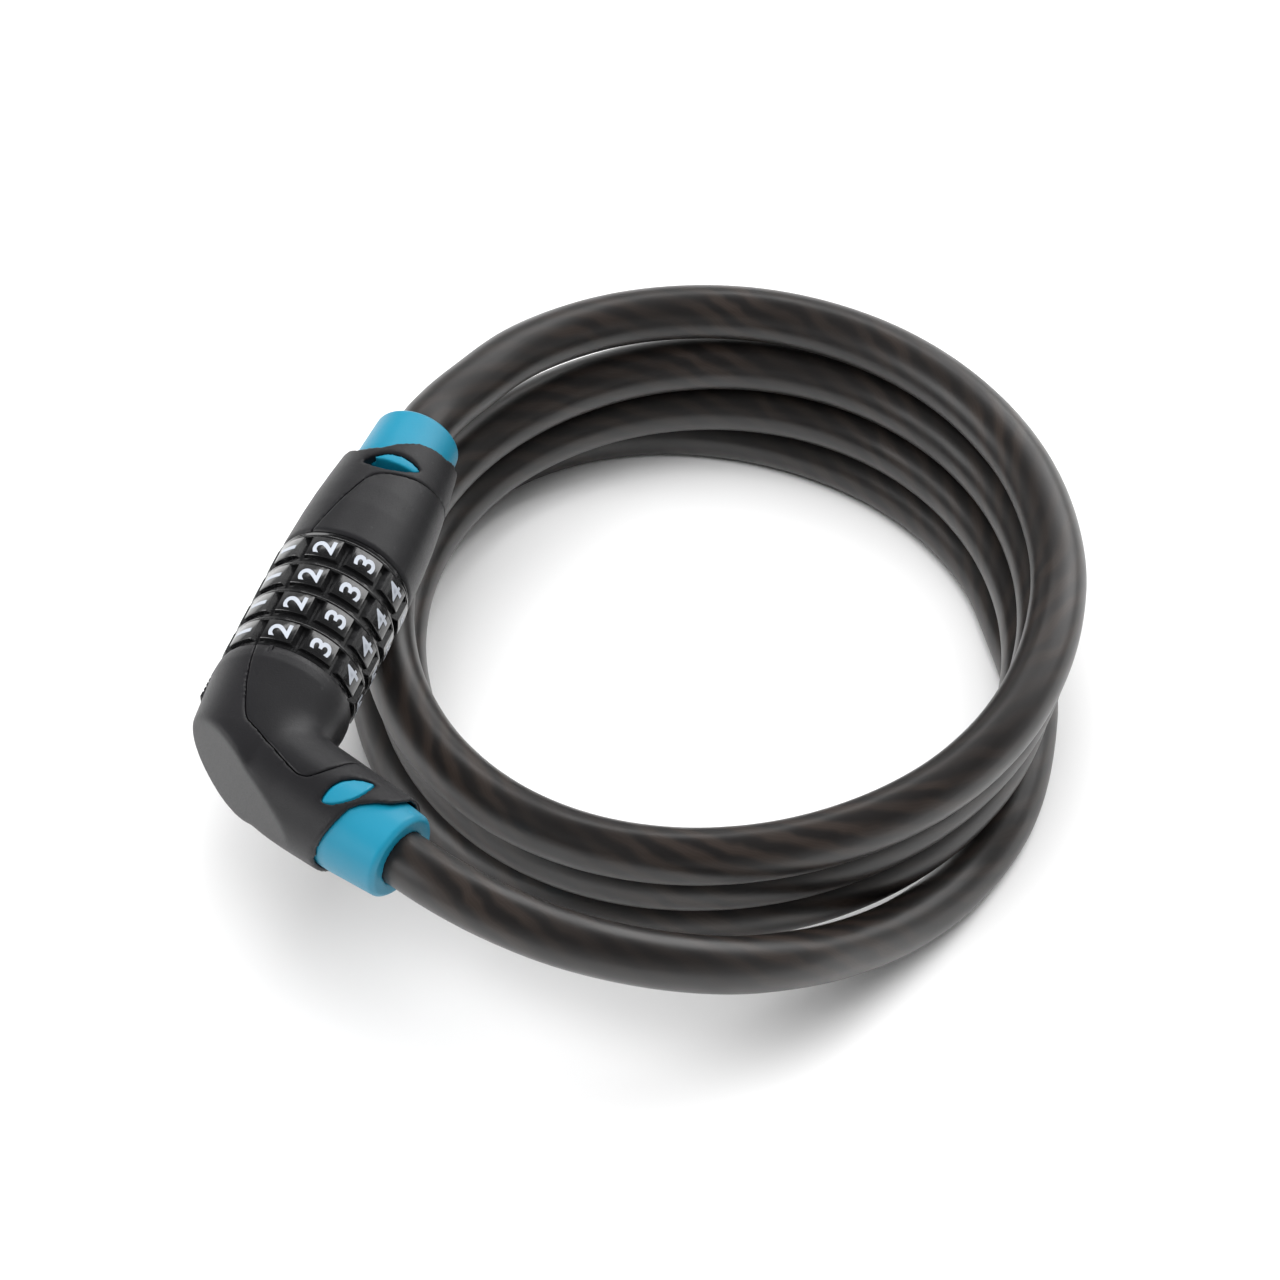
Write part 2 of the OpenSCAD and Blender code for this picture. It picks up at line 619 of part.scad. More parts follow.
module plug_cover() {
    color([0.10, 0.10, 0.11]) in_head() difference() {
        cover_form();
        difference() {
            plug_panel_outline(seam);
            cover_form(panel_t + seam);
        }
        translate([0, 0, cover_start - 1]) cylinder(r = gate_r, h = core_end - cover_start + 1);
        translate([0, 0, plug_grip - ferrule_len]) cylinder(r = ferrule_r, h = ferrule_len);
        translate([0, 0, plug_grip - spigot_len - 1 + sleeve_fit])
            cylinder(r = spigot_r + sleeve_fit, h = 20);
        translate([0, 0, plug_grip - 1]) cylinder(r = sleeve_r + sleeve_fit, h = 40);
        cross_pin(plug_grip);
        eye_cut(plug_window_z, plug_window_len, plug_window_w, 5, 20, plug_window_y, plug_window_turn);
        // The edge: short on the outer side, drawn out on the side of the coil
        through_head([
            [-25, cover_reach - 7.5], [-9.5, cover_reach - 8.6], [-7.5, cover_reach - 9.7],
            [-5.5, cover_reach - 9.8], [-2.1, cover_reach - 9], [0.2, cover_reach - 7.1],
            [2.6, cover_reach - 5.4], [4.5, cover_reach - 4.1], [7.1, cover_reach - 3],
            [9.7, cover_reach - 2.3], [11.5, cover_reach - 0.1], [25, cover_reach], [25, 80], [-25, 80]]);
    }
}

module plug_panel() {
    color([0.13, 0.13, 0.14]) in_head() difference() {
        intersection() {
            cover_form();
            plug_panel_outline(0);
        }
        cover_form(panel_t);
    }
}

module plug_core() {
    color([0.66, 0.66, 0.64]) in_head() difference() {
        translate([0, 0, cover_start]) cylinder(r = gate_r, h = core_end - cover_start);
        translate([0, 0, cover_start - 1]) cylinder(r = bolt_r, h = core_end - 2 - cover_start + 1);
    }
}

// ---- Cable ---------------------------------------------------------------------------------

// Cable along a path, flat where it rests
module cable_along(path) {
    color([0.18, 0.17, 0.17]) difference() {
        tube_along(path, cable_r, sides);
        translate([-2 * coil_radius, coil_y - 2 * coil_radius, -cable_d])
            cube([4 * coil_radius, 4 * coil_radius, cable_d]);
    }
}

module cable_coil() cable_along(coil_path);
module cable_plug_run() cable_along(refined(plug_path, 2));
module cable_elbow_run() cable_along(refined(elbow_path, 2));

elbow_shell();
elbow_panel();
exit_sleeve();
exit_ferrule();
exit_pin();
exit_cable_end();
core_tube();
core_pin();
mouth_ring();
dial_discs();
detent_spring();
index_mark();
dial(0);  // dial_1
dial(1);  // dial_2
dial(2);  // dial_3
dial(3);  // dial_4
gate_ring(0);  // gate_ring_1
gate_ring(1);  // gate_ring_2
gate_ring(2);  // gate_ring_3
gate_ring(3);  // gate_ring_4
plug_cover();
plug_panel();
plug_sleeve();
plug_core();
plug_ferrule();
plug_pin();
plug_cable_end();
locking_bolt();
change_tab();
change_spring();
cable_plug_run();
cable_coil();
cable_elbow_run();
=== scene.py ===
# %% [markdown]
# A coiled cable lock, dressed over its CAD model
#
# The lock is a thick plastic-covered steel cable, wound in nearly four turns, with a moulded head
# that carries four number dials. The CAD model gives every piece its size and place. Here each
# visible piece gets soft moulded edges, its printed numbers and a finish, in the same frame as the
# CAD: metres, +Z up, the head's axis along Y.

# %% Load the CAD frame
from math import ceil, cos, degrees, exp, hypot, pi, radians, sin

import bpy
import numpy as np
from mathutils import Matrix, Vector


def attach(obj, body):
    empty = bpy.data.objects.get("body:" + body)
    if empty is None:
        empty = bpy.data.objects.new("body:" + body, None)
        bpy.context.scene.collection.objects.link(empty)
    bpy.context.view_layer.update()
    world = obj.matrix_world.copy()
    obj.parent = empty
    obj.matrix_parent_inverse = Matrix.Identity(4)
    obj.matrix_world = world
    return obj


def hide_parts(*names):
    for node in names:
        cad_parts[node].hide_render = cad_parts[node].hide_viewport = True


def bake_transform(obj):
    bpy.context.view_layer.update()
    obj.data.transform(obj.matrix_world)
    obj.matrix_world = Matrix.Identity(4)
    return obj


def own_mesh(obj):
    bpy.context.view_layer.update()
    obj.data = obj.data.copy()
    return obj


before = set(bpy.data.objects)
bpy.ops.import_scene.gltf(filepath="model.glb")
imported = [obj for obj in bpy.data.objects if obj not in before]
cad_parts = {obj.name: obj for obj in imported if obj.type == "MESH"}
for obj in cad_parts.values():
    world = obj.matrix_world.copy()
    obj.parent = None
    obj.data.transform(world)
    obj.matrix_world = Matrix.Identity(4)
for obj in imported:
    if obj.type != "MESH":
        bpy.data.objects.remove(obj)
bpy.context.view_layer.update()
MM = 0.001

# %% [markdown]
# Operators act on whatever is selected, and loading the frame leaves its objects selected. So the
# first helpers deselect everything and make one object the active one.

# %% Helpers for selecting
def use_only(piece):
    """Leaves this object alone selected and active."""
    if bpy.context.object and bpy.context.object.mode != "OBJECT":
        bpy.ops.object.mode_set(mode="OBJECT")
    bpy.ops.object.select_all(action="DESELECT")
    piece.select_set(True)
    bpy.context.view_layer.objects.active = piece


def add_piece(name, mesh):
    """A new object of this mesh, at the origin."""
    piece = bpy.data.objects.new(name, mesh)
    bpy.context.scene.collection.objects.link(piece)
    return piece


def apply_modifiers(piece):
    """Applies the piece's modifiers in their order."""
    use_only(piece)
    for modifier in list(piece.modifiers):
        bpy.ops.object.modifier_apply(modifier=modifier.name)


print("helpers ready")

# %% [markdown]
# The camera looks down on the lock with a long lens, so the coil's far side is hardly smaller than
# its near side. A long lens far away flattens a small object in the same way on a real copy stand.

# %% Camera
camera_data = bpy.data.cameras.new("camera")
camera_data.lens = 156.3
camera_data.sensor_width = 36
camera_data.sensor_fit = "HORIZONTAL"
camera_data.clip_start = 0.05
camera = bpy.data.objects.new("camera", camera_data)
camera.location = (0.2527, -0.8053, 0.9433)
camera.rotation_euler = (radians(40), 0, radians(20.1))
bpy.context.scene.collection.objects.link(camera)
bpy.context.scene.camera = camera
print("camera looks down by", round(90 - degrees(camera.rotation_euler.x)), "degrees")

# %% [markdown]
# The cable comes first, because everything else lies on it or hangs from it. It is one length of
# 12 mm cable in three runs that meet face to face: from the plug round the back, the stacked turns,
# and from the lowest turn round the front to the elbow. Its middle line is the same as in the CAD:
# a radius that wanders a little every sixth of a turn, and a height that drops by one cable each
# time round. A smooth curve through those few numbers gives the natural, slightly uneven lie.

# %% Places of the head and the cable, in millimetres
CABLE_D = 12.0
TURN_PITCH = 12.5
COIL_RADIUS = 72.0
COIL_Y = -70.0
FLOOR_Z = 4.8
TOP_Z = FLOOR_Z + 3 * TURN_PITCH
HEAD = np.array([-69.0, COIL_Y - 55.0, 51.0])
ELBOW_TURN = radians(71)
CORNER_REACH = 34.6
SLEEVE_REACH = 41.2
PLUG_REACH = 59.5
COVER_REACH = 53.5
DIAL_PITCH = 8.05
DIAL_R = 15.1
EXIT_DIR = np.array([sin(ELBOW_TURN), -cos(ELBOW_TURN), 0.0])
CORNER = HEAD - [0, CORNER_REACH, 0]
PLUG_FACE = HEAD + [0, PLUG_REACH, 0]
EXIT_FACE = CORNER + SLEEVE_REACH * EXIT_DIR
print("corner of the elbow at", CORNER)

# %% Middle line of the cable
WANDER = [4.5, 2.8, -1.6, -3, -1, -0.4, 1, 0, -4, -3.2, -2.5, -3.2, -0.8, -0.8, 0.5, 5.4, -2, -4.2]
FIRST, LAST = 2, 19
DROP_FROM, DROP_LENGTH = 1.64, 2.5
JOIN_LEAD, EXIT_LEAD = 1.5, 6.0
PLUG_ROUTE = [
    (-67.6, 15, 50.2), (-64.4, 25, 49.2), (-59.3, 38.4, 47.4), (-52.1, 49.7, 45.4),
    (-42.3, 59.8, 43.7), (-30.1, 67.5, 42.6), (-16.2, 72.2, 42.3), (-0.8, 73.7, 42.3),
    (14.9, 72, 42.3), (29.5, 67.2, 42.3), (42.9, 59.5, 42.3), (54.6, 49.3, 42.3),
    (63.6, 37.3, 42.3), (70.2, 23.8, 42.3), (73.8, 9.3, 42.3), (74.8, -5.4, 42.3),
    (73.2, -20, 42.3)]
ELBOW_ROUTE = [
    (66, 22.5, 4.8), (71.3, 4.8, 4.8), (73.2, -15.7, 4.8), (69.2, -36.4, 5.4), (63.1, -53.3, 10),
    (55.3, -69.5, 18), (47.3, -82.4, 26.2), (38.3, -91.3, 31.5), (27.8, -98.5, 36.7),
    (16.3, -103.9, 41.6), (4.5, -107.3, 46), (-7.4, -108.2, 49.3)]


def through(values, t):
    """Value at t of the smooth curve through a list spaced one apart."""
    v = np.asarray(values, float)
    n = len(v) - 1
    i = max(0, min(n - 1, int(t // 1)))
    f = t - i
    a, b, c, d = v[max(0, i - 1)], v[i], v[i + 1], v[min(n, i + 2)]
    return b + 0.5 * f * (c - a + f * (2 * a - 5 * b + 4 * c - d + f * (3 * (b - c) + d - a)))


def coil_point(t):
    """Middle of the cable at t sixths of a turn. Each turn drops within a few of its sixths."""
    a = radians(90 - 60 * t)
    r = COIL_RADIUS + through(WANDER, t - FIRST)
    turns = (t - DROP_FROM) // 6
    ease = max(0.0, min(1.0, (t - DROP_FROM - 6 * turns) / DROP_LENGTH))
    down = min(3, turns + ease * ease * (3 - 2 * ease))
    return np.array([r * cos(a), COIL_Y + r * sin(a), TOP_Z - TURN_PITCH * down])


POINTS_PER_SIXTH = 4
to_coil = np.array([0, COIL_Y, 0])
coil_knots = [coil_point(FIRST + i / POINTS_PER_SIXTH)
              for i in range((LAST - FIRST) * POINTS_PER_SIXTH + 1)]
knots = np.array([
    PLUG_FACE, PLUG_FACE + [0, JOIN_LEAD, 0], *[to_coil + p for p in PLUG_ROUTE], *coil_knots,
    *[to_coil + p for p in ELBOW_ROUTE], EXIT_FACE + EXIT_LEAD * EXIT_DIR, EXIT_FACE])
coil_from = 2 + len(PLUG_ROUTE)
coil_to = coil_from + len(coil_knots) - 1
print("cable's middle line has", len(knots), "points")

# %% Smooth line through the points
RING_GAP = 2.0


def smooth_line(points):
    """Rings' middles and directions on one smooth curve, and each point's place among the rings."""
    steps = np.diff(points, axis=0)
    gaps = np.linalg.norm(steps, axis=1)[:, None]
    steps /= gaps
    slopes = np.vstack([steps[:1], (steps[:-1] * gaps[1:] + steps[1:] * gaps[:-1])
                        / (gaps[1:] + gaps[:-1]), steps[-1:]])
    slopes[1], slopes[-2] = steps[0], steps[-1]
    middles, heads, places = [], [], []
    for i, gap in enumerate(gaps[:, 0]):
        places.append(len(middles))
        for u in np.arange(0, 1, 1 / ceil(gap / RING_GAP)):
            a, b, s, e = points[i], points[i + 1], gap * slopes[i], gap * slopes[i + 1]
            middles.append(a + u * (s + u * (3 * (b - a) - 2 * s - e + u * (2 * (a - b) + s + e))))
            heads.append(s + u * (2 * (3 * (b - a) - 2 * s - e) + 3 * u * (2 * (a - b) + s + e)))
    middles.append(points[-1])
    heads.append(slopes[-1])
    places.append(len(middles) - 1)
    heads = np.array(heads)
    return np.array(middles), heads / np.linalg.norm(heads, axis=1)[:, None], places


middles, heads, places = smooth_line(knots)
along = np.concatenate([[0], np.cumsum(np.linalg.norm(np.diff(middles, axis=0), axis=1))])
print("cable of", len(middles), "rings,", round(along[-1]), "mm long")

# %% [markdown]
# A cable could be a curve with a round bevel, but the strands under its cover twist along it, and a
# curve's own UV stretches with its points. So the tube is built ring by ring. Its UV counts lays of
# the rope along the cable and turns round it, and goes on across the joins, so that one pattern
# runs from the plug to the elbow. The shading normals are set straight out from the middle line,
# which hides where one tube ends and the next begins. Where the lowest turn rests, its cover is
# pressed flat.

# %% Cable tubes
STRAND_LAY = 75.0
CABLE_SIDES = 32


def cable_tube(name, first, last):
    """Tube between two rings of the cable's line, closed at both ends."""
    line, ahead, run = middles[first:last + 1], heads[first:last + 1], along[first:last + 1]
    side = np.cross([0, 0, 1], ahead)
    side /= np.linalg.norm(side, axis=1)[:, None]
    up = np.cross(ahead, side)
    turn = 2 * pi * (np.arange(CABLE_SIDES) + 0.5) / CABLE_SIDES
    out = (np.cos(turn)[None, :, None] * side[:, None] + np.sin(turn)[None, :, None] * up[:, None])
    points = (line[:, None] + CABLE_D / 2 * out).reshape(-1, 3)
    points[:, 2] = np.maximum(points[:, 2], 0)
    n, count = CABLE_SIDES, len(line)
    walls = [(i * n + k, i * n + (k + 1) % n, (i + 1) * n + (k + 1) % n, (i + 1) * n + k)
             for i in range(count - 1) for k in range(n)]
    caps = [tuple(range(n))[::-1], tuple((count - 1) * n + k for k in range(n))]
    mesh = bpy.data.meshes.new(name)
    mesh.from_pydata((points * MM).tolist(), [], walls + caps)
    uv = mesh.uv_layers.new(name="along_and_round").data
    for i in range(count - 1):
        for k in range(n):
            for j, (ring, mark) in enumerate(((i, k), (i, k + 1), (i + 1, k + 1), (i + 1, k))):
                uv[4 * (i * n + k) + j].uv = (run[ring] / STRAND_LAY, mark / n)
    out = out.reshape(-1, 3)
    normals = [out[v] for face in walls for v in face]
    normals += [-ahead[0]] * n + [ahead[-1]] * n
    mesh.normals_split_custom_set(np.array(normals).tolist())
    return add_piece(name, mesh)


cable_ends = (0, places[coil_from], places[coil_to], len(middles) - 1)
cables = [cable_tube(name, first, last) for name, first, last in zip(
    ("cable_from_plug", "cable_turns", "cable_to_elbow"), cable_ends, cable_ends[1:])]
plug_cable, coil_cable, elbow_cable = cables
print("cable tubes have", sum(len(piece.data.polygons) for piece in cables), "faces")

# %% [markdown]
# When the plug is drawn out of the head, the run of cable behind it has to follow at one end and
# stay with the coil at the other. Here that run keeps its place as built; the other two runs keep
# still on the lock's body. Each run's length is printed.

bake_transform(plug_cable)
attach(coil_cable, "lock_body")
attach(elbow_cable, "lock_body")
for piece, source, first, last in zip(cables, ("cable_plug_run", "cable_coil", "cable_elbow_run"),
                                      cable_ends, cable_ends[1:]):
    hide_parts(source)
    print(source, "is", round(along[last] - along[first]), "mm long")

# %% [markdown]
# Every finish shares a few effects: a fine grain, a slow change of tone, and light wear on edges.
# Each effect is one node group with named values, so that all the plastics stay in one family.

# %% Node helpers
def new_group(name, inputs, outputs):
    """An empty shader node group with these sockets and their first values."""
    group = bpy.data.node_groups.new(name, "ShaderNodeTree")
    for label, kind, value in inputs:
        socket = group.interface.new_socket(label, in_out="INPUT", socket_type=kind)
        socket.default_value = value
    for label, kind in outputs:
        group.interface.new_socket(label, in_out="OUTPUT", socket_type=kind)
    return group, group.nodes.new("NodeGroupInput"), group.nodes.new("NodeGroupOutput")


def node(tree, kind, values=None, **settings):
    """A node with its settings, and its inputs set or linked from a dictionary."""
    made = tree.nodes.new(kind)
    for label, value in settings.items():
        setattr(made, label, value)
    for label, value in (values or {}).items():
        if isinstance(value, bpy.types.NodeSocket):
            tree.links.new(value, made.inputs[label])
        else:
            made.inputs[label].default_value = value
    return made


def new_material(name):
    """A new material with its node tree and its shader."""
    material = bpy.data.materials.new(name)
    material.use_nodes = True
    return material, material.node_tree, material.node_tree.nodes["Principled BSDF"]


def blend_colour(tree, factor, first, second):
    """Colour between two."""
    mix = tree.nodes.new("ShaderNodeMix")
    mix.data_type = "RGBA"
    for socket, value in ((mix.inputs[0], factor), (mix.inputs[6], first), (mix.inputs[7], second)):
        if isinstance(value, bpy.types.NodeSocket):
            tree.links.new(value, socket)
        else:
            socket.default_value = value
    return mix.outputs[2]


def spread(tree, value, low, high, new_low, new_high):
    """Value taken from one range to another."""
    return node(tree, "ShaderNodeMapRange", {"Value": value, "From Min": low, "From Max": high,
                                             "To Min": new_low, "To Max": new_high},
                interpolation_type="SMOOTHSTEP").outputs["Result"]


print("node helpers ready")

# %% Group: moulded grain
grain, g_in, g_out = new_group(
    "moulded_grain",
    [("Grain Size", "NodeSocketFloat", 3000.0), ("Tone Size", "NodeSocketFloat", 60.0)],
    [("Height", "NodeSocketFloat"), ("Tone", "NodeSocketFloat")])
place = node(grain, "ShaderNodeTexCoord").outputs["Object"]
fine = node(grain, "ShaderNodeTexNoise", {"Vector": place, "Scale": g_in.outputs["Grain Size"],
                                          "Detail": 3.0, "Roughness": 0.6})
slow = node(grain, "ShaderNodeTexNoise", {"Vector": place, "Scale": g_in.outputs["Tone Size"],
                                          "Detail": 2.0, "Roughness": 0.5})
grain.links.new(fine.outputs[0], g_out.inputs["Height"])
grain.links.new(slow.outputs[0], g_out.inputs["Tone"])
print("grain group has", len(grain.nodes), "nodes")

# %% Group: edge wear
wear, w_in, w_out = new_group(
    "edge_wear",
    [("Patch Size", "NodeSocketFloat", 500.0), ("Start", "NodeSocketFloat", 0.53)],
    [("Worn", "NodeSocketFloat")])
pointed = node(wear, "ShaderNodeNewGeometry").outputs["Pointiness"]
patches = node(wear, "ShaderNodeTexNoise",
               {"Vector": node(wear, "ShaderNodeTexCoord").outputs["Object"],
                "Scale": w_in.outputs["Patch Size"], "Detail": 3.0}).outputs[0]
edge = node(wear, "ShaderNodeMapRange", {"Value": pointed, "From Min": w_in.outputs["Start"],
                                         "From Max": 0.62}).outputs["Result"]
worn = node(wear, "ShaderNodeMath", {0: edge, 1: spread(wear, patches, 0.45, 0.6, 0.0, 1.0)},
            operation="MULTIPLY").outputs[0]
wear.links.new(worn, w_out.inputs["Worn"])
print("edge wear group has", len(wear.nodes), "nodes")

# %% [markdown]
# The plastics differ in colour, gloss and grain only. The housings are a soft-touch black that
# scatters light, the panels let into them are a little smoother, the dials are glossy, and the
# sleeves are a bright blue rubber.

# %% Plastics
GRAIN_DEPTH = 0.0001


def moulded_plastic(name, colour, tone, roughness, bump, gloss=0.0, lift=1.5, specular=0.5):
    """Moulded plastic: base colour, spread of tone, roughness, depth of grain and clear gloss.

    The worn edges are lighter than the rest by lift.
    """
    material, tree, shader = new_material(name)
    effect = node(tree, "ShaderNodeGroup", {}, node_tree=grain)
    rubbed = node(tree, "ShaderNodeGroup", {}, node_tree=wear)
    dark = (*[c * (1 - tone) for c in colour], 1)
    light = (*[c * (1 + tone) for c in colour], 1)
    rim = (*[c * lift + 0.004 for c in colour], 1)
    base = blend_colour(tree, spread(tree, effect.outputs["Tone"], 0.3, 0.7, 0.0, 1.0), dark, light)
    base = blend_colour(tree, rubbed.outputs["Worn"], base, rim)
    tree.links.new(base, shader.inputs["Base Color"])
    rough = spread(tree, effect.outputs["Height"], 0.3, 0.7, roughness - 0.05, roughness + 0.05)
    tree.links.new(rough, shader.inputs["Roughness"])
    bumped = node(tree, "ShaderNodeBump", {"Height": effect.outputs["Height"], "Strength": bump,
                                           "Distance": GRAIN_DEPTH})
    tree.links.new(bumped.outputs["Normal"], shader.inputs["Normal"])
    shader.inputs["Coat Weight"].default_value = gloss
    shader.inputs["Coat Roughness"].default_value = 0.12
    shader.inputs["Specular IOR Level"].default_value = specular
    return material


soft_black = moulded_plastic("soft_touch_black", (0.0105, 0.0102, 0.0115), 0.10, 0.47, 0.5,
                             specular=0.40)
panel_black = moulded_plastic("panel_black", (0.0105, 0.0103, 0.0115), 0.08, 0.42, 0.3,
                              specular=0.40)
dial_black = moulded_plastic("dial_black", (0.006, 0.006, 0.0065), 0.10, 0.22, 0.08, gloss=0.6)
disc_black = moulded_plastic("disc_black", (0.005, 0.005, 0.0055), 0.10, 0.16, 0.05, gloss=0.8)
sleeve_blue = moulded_plastic("sleeve_blue", (0.005, 0.198, 0.310), 0.05, 0.42, 0.25, lift=1.15)
number_white = moulded_plastic("number_white", (0.42, 0.45, 0.50), 0.02, 0.40, 0.15, lift=1.0)
print("plastics:", len(bpy.data.materials))

# %% [markdown]
# The cable's cover is smoked, so the steel strands show through it, dim and brown. The strands are
# seven bands that wind round the cable. They are made from the UV: the number of bands that have
# passed is seven times the lays along less the turns round. Each band has a painted highlight along
# its middle and painted shade at its edges, between the strands; its wires draw faint lines in it,
# and a slow noise lets some of the bands fade.

# %% Group: strands under a smoked cover
STRANDS = 7.0
WIRES_PER_STRAND = 7


def waves(tree, count, number):
    """Cosine that goes up and down this number of times while the count goes up by one."""
    angle = node(tree, "ShaderNodeMath", {0: count, 1: number * 2 * pi}, operation="MULTIPLY")
    return node(tree, "ShaderNodeMath", {0: angle.outputs[0]}, operation="COSINE").outputs[0]


strands, s_in, s_out = new_group(
    "strands_under_cover", [("Strands", "NodeSocketFloat", STRANDS)],
    [("Band", "NodeSocketFloat"), ("Wire", "NodeSocketFloat"), ("Fade", "NodeSocketFloat")])
uv_map = node(strands, "ShaderNodeUVMap", uv_map="along_and_round").outputs[0]
split = node(strands, "ShaderNodeSeparateXYZ", {0: uv_map})
lays = node(strands, "ShaderNodeMath", {0: split.outputs[0], 1: split.outputs[1]},
            operation="SUBTRACT").outputs[0]
place = node(strands, "ShaderNodeTexCoord").outputs["Object"]
wobble = node(strands, "ShaderNodeTexNoise", {"Vector": place, "Scale": 90.0, "Detail": 2.0})
passed = node(strands, "ShaderNodeMath", {0: lays, 1: s_in.outputs["Strands"]},
              operation="MULTIPLY").outputs[0]
shift = spread(strands, wobble.outputs[0], 0.2, 0.8, -0.25, 0.25)
count = node(strands, "ShaderNodeMath", {0: passed, 1: shift}, operation="ADD").outputs[0]
# The band is lightest in each strand's middle, a painted highlight, and darkest between strands,
# painted shade.
band = waves(strands, count, 1)
strands.links.new(spread(strands, band, -0.9, 1.0, 0.0, 1.0), s_out.inputs["Band"])
wires = waves(strands, count, WIRES_PER_STRAND)
strands.links.new(spread(strands, wires, -1.0, 1.0, 0.0, 1.0), s_out.inputs["Wire"])
fading = node(strands, "ShaderNodeTexNoise", {"Vector": place, "Scale": 38.0, "Detail": 2.0})
strands.links.new(spread(strands, fading.outputs[0], 0.35, 0.65, 0.25, 1.0), s_out.inputs["Fade"])
print("strand group has", len(strands.nodes), "nodes")

# %% Smoked cable cover
# Between the strands: a dark gap with painted shade. The two browns are the strands' own colour,
# with the wire lines.
BETWEEN_STRANDS = (0.0080, 0.0068, 0.0066, 1)
STRAND_DARK = (0.021, 0.0150, 0.0122, 1)
STRAND_LIGHT = (0.025, 0.0182, 0.0150, 1)
COVER_GRAIN = 1200.0
cover, tree, shader = new_material("smoked_cover")
rope = node(tree, "ShaderNodeGroup", {}, node_tree=strands)
# Strand pattern carrying the painted highlight on each strand and the painted shade between them.
strands_and_highlight = node(tree, "ShaderNodeMath", {0: rope.outputs["Band"], 1: rope.outputs["Fade"]},
            operation="MULTIPLY").outputs[0]
lit = blend_colour(tree, rope.outputs["Wire"], STRAND_DARK, STRAND_LIGHT)
base = blend_colour(tree, strands_and_highlight, BETWEEN_STRANDS, lit)
tree.links.new(base, shader.inputs["Base Color"])
skin = node(tree, "ShaderNodeGroup", {}, node_tree=grain)
skin.inputs["Grain Size"].default_value = COVER_GRAIN
tree.links.new(spread(tree, skin.outputs["Tone"], 0.3, 0.7, 0.36, 0.46), shader.inputs["Roughness"])
raised = node(tree, "ShaderNodeBump", {"Height": strands_and_highlight, "Strength": 0.08, "Distance": 0.0003})
fine_bump = node(tree, "ShaderNodeBump", {
    "Height": skin.outputs["Height"], "Strength": 0.12, "Distance": GRAIN_DEPTH,
    "Normal": raised.outputs["Normal"]})
tree.links.new(fine_bump.outputs["Normal"], shader.inputs["Normal"])
shader.inputs["Coat Weight"].default_value = 0.25
shader.inputs["Coat Roughness"].default_value = 0.30
for piece in cables:
    piece.data.materials.append(cover)
print("cable cover made")

# %% [markdown]
# The metal parts are inside and show only when the plug is drawn out: a bright toothed bolt, a dull
# cast core, brass gate rings. A metal's colour is all in what it mirrors, so one shader does for
# all of them, with the tone of each metal and the roughness that its tool leaves.

# %% Metals
METAL_GRAIN = 900.0


def turned_metal(name, colour, roughness, bump):
    """Metal with fine tool marks and a slow change of tone."""
    material, tree, shader = new_material(name)
    effect = node(tree, "ShaderNodeGroup", {}, node_tree=grain)
    effect.inputs["Grain Size"].default_value = METAL_GRAIN
    dark, light = (*[c * 0.85 for c in colour], 1), (*colour, 1)
    tone = blend_colour(tree, effect.outputs["Tone"], dark, light)
    tree.links.new(tone, shader.inputs["Base Color"])
    rough = spread(tree, effect.outputs["Height"], 0.3, 0.7, roughness - 0.08, roughness + 0.08)
    tree.links.new(rough, shader.inputs["Roughness"])
    bumped = node(tree, "ShaderNodeBump", {"Height": effect.outputs["Height"], "Strength": bump,
                                           "Distance": GRAIN_DEPTH})
    tree.links.new(bumped.outputs["Normal"], shader.inputs["Normal"])
    shader.inputs["Metallic"].default_value = 1.0
    return material


bolt_steel = turned_metal("bolt_steel", (0.66, 0.67, 0.69), 0.25, 0.1)
core_zinc = turned_metal("core_zinc", (0.52, 0.52, 0.51), 0.42, 0.3)
pin_steel = turned_metal("pin_steel", (0.58, 0.58, 0.59), 0.32, 0.15)
ferrule_alloy = turned_metal("ferrule_alloy", (0.62, 0.63, 0.65), 0.38, 0.3)
gate_brass = turned_metal("gate_brass", (0.72, 0.50, 0.22), 0.33, 0.2)
spring_steel = turned_metal("spring_steel", (0.50, 0.51, 0.53), 0.30, 0.1)
print("metals done")

# %% [markdown]
# A moulded part has no sharp edge anywhere: the tool leaves a radius on each one, and the light
# catches it. The CAD solids have the right shape with sharp edges. So a copy of each housing is
# merged, remeshed into an even skin of small faces, and smoothed. A vertex group says where the
# smoothing is strong, as round the flat on the bend, and where it only breaks the edge.

# %% Head frame
def in_head(point):
    """Head frame, in mm, of a point in metres: x up, y towards the coil, z towards the plug."""
    x, y, z = point[0] / MM - HEAD[0], point[1] / MM - HEAD[1], point[2] / MM - HEAD[2]
    return z, x, y


def in_exit(point):
    """Exit frame, in mm: x up, z along the cable's exit from the corner, -y inside the bend."""
    x, y, z = in_head(point)
    z += CORNER_REACH
    turn = ELBOW_TURN - pi
    return x, y * cos(turn) + z * sin(turn), -y * sin(turn) + z * cos(turn)


print("corner in the head frame:", [round(v, 1) for v in in_head(CORNER * MM)])


# %% Remeshed copy with soft edges
LEAST_WEIGHT = 0.02


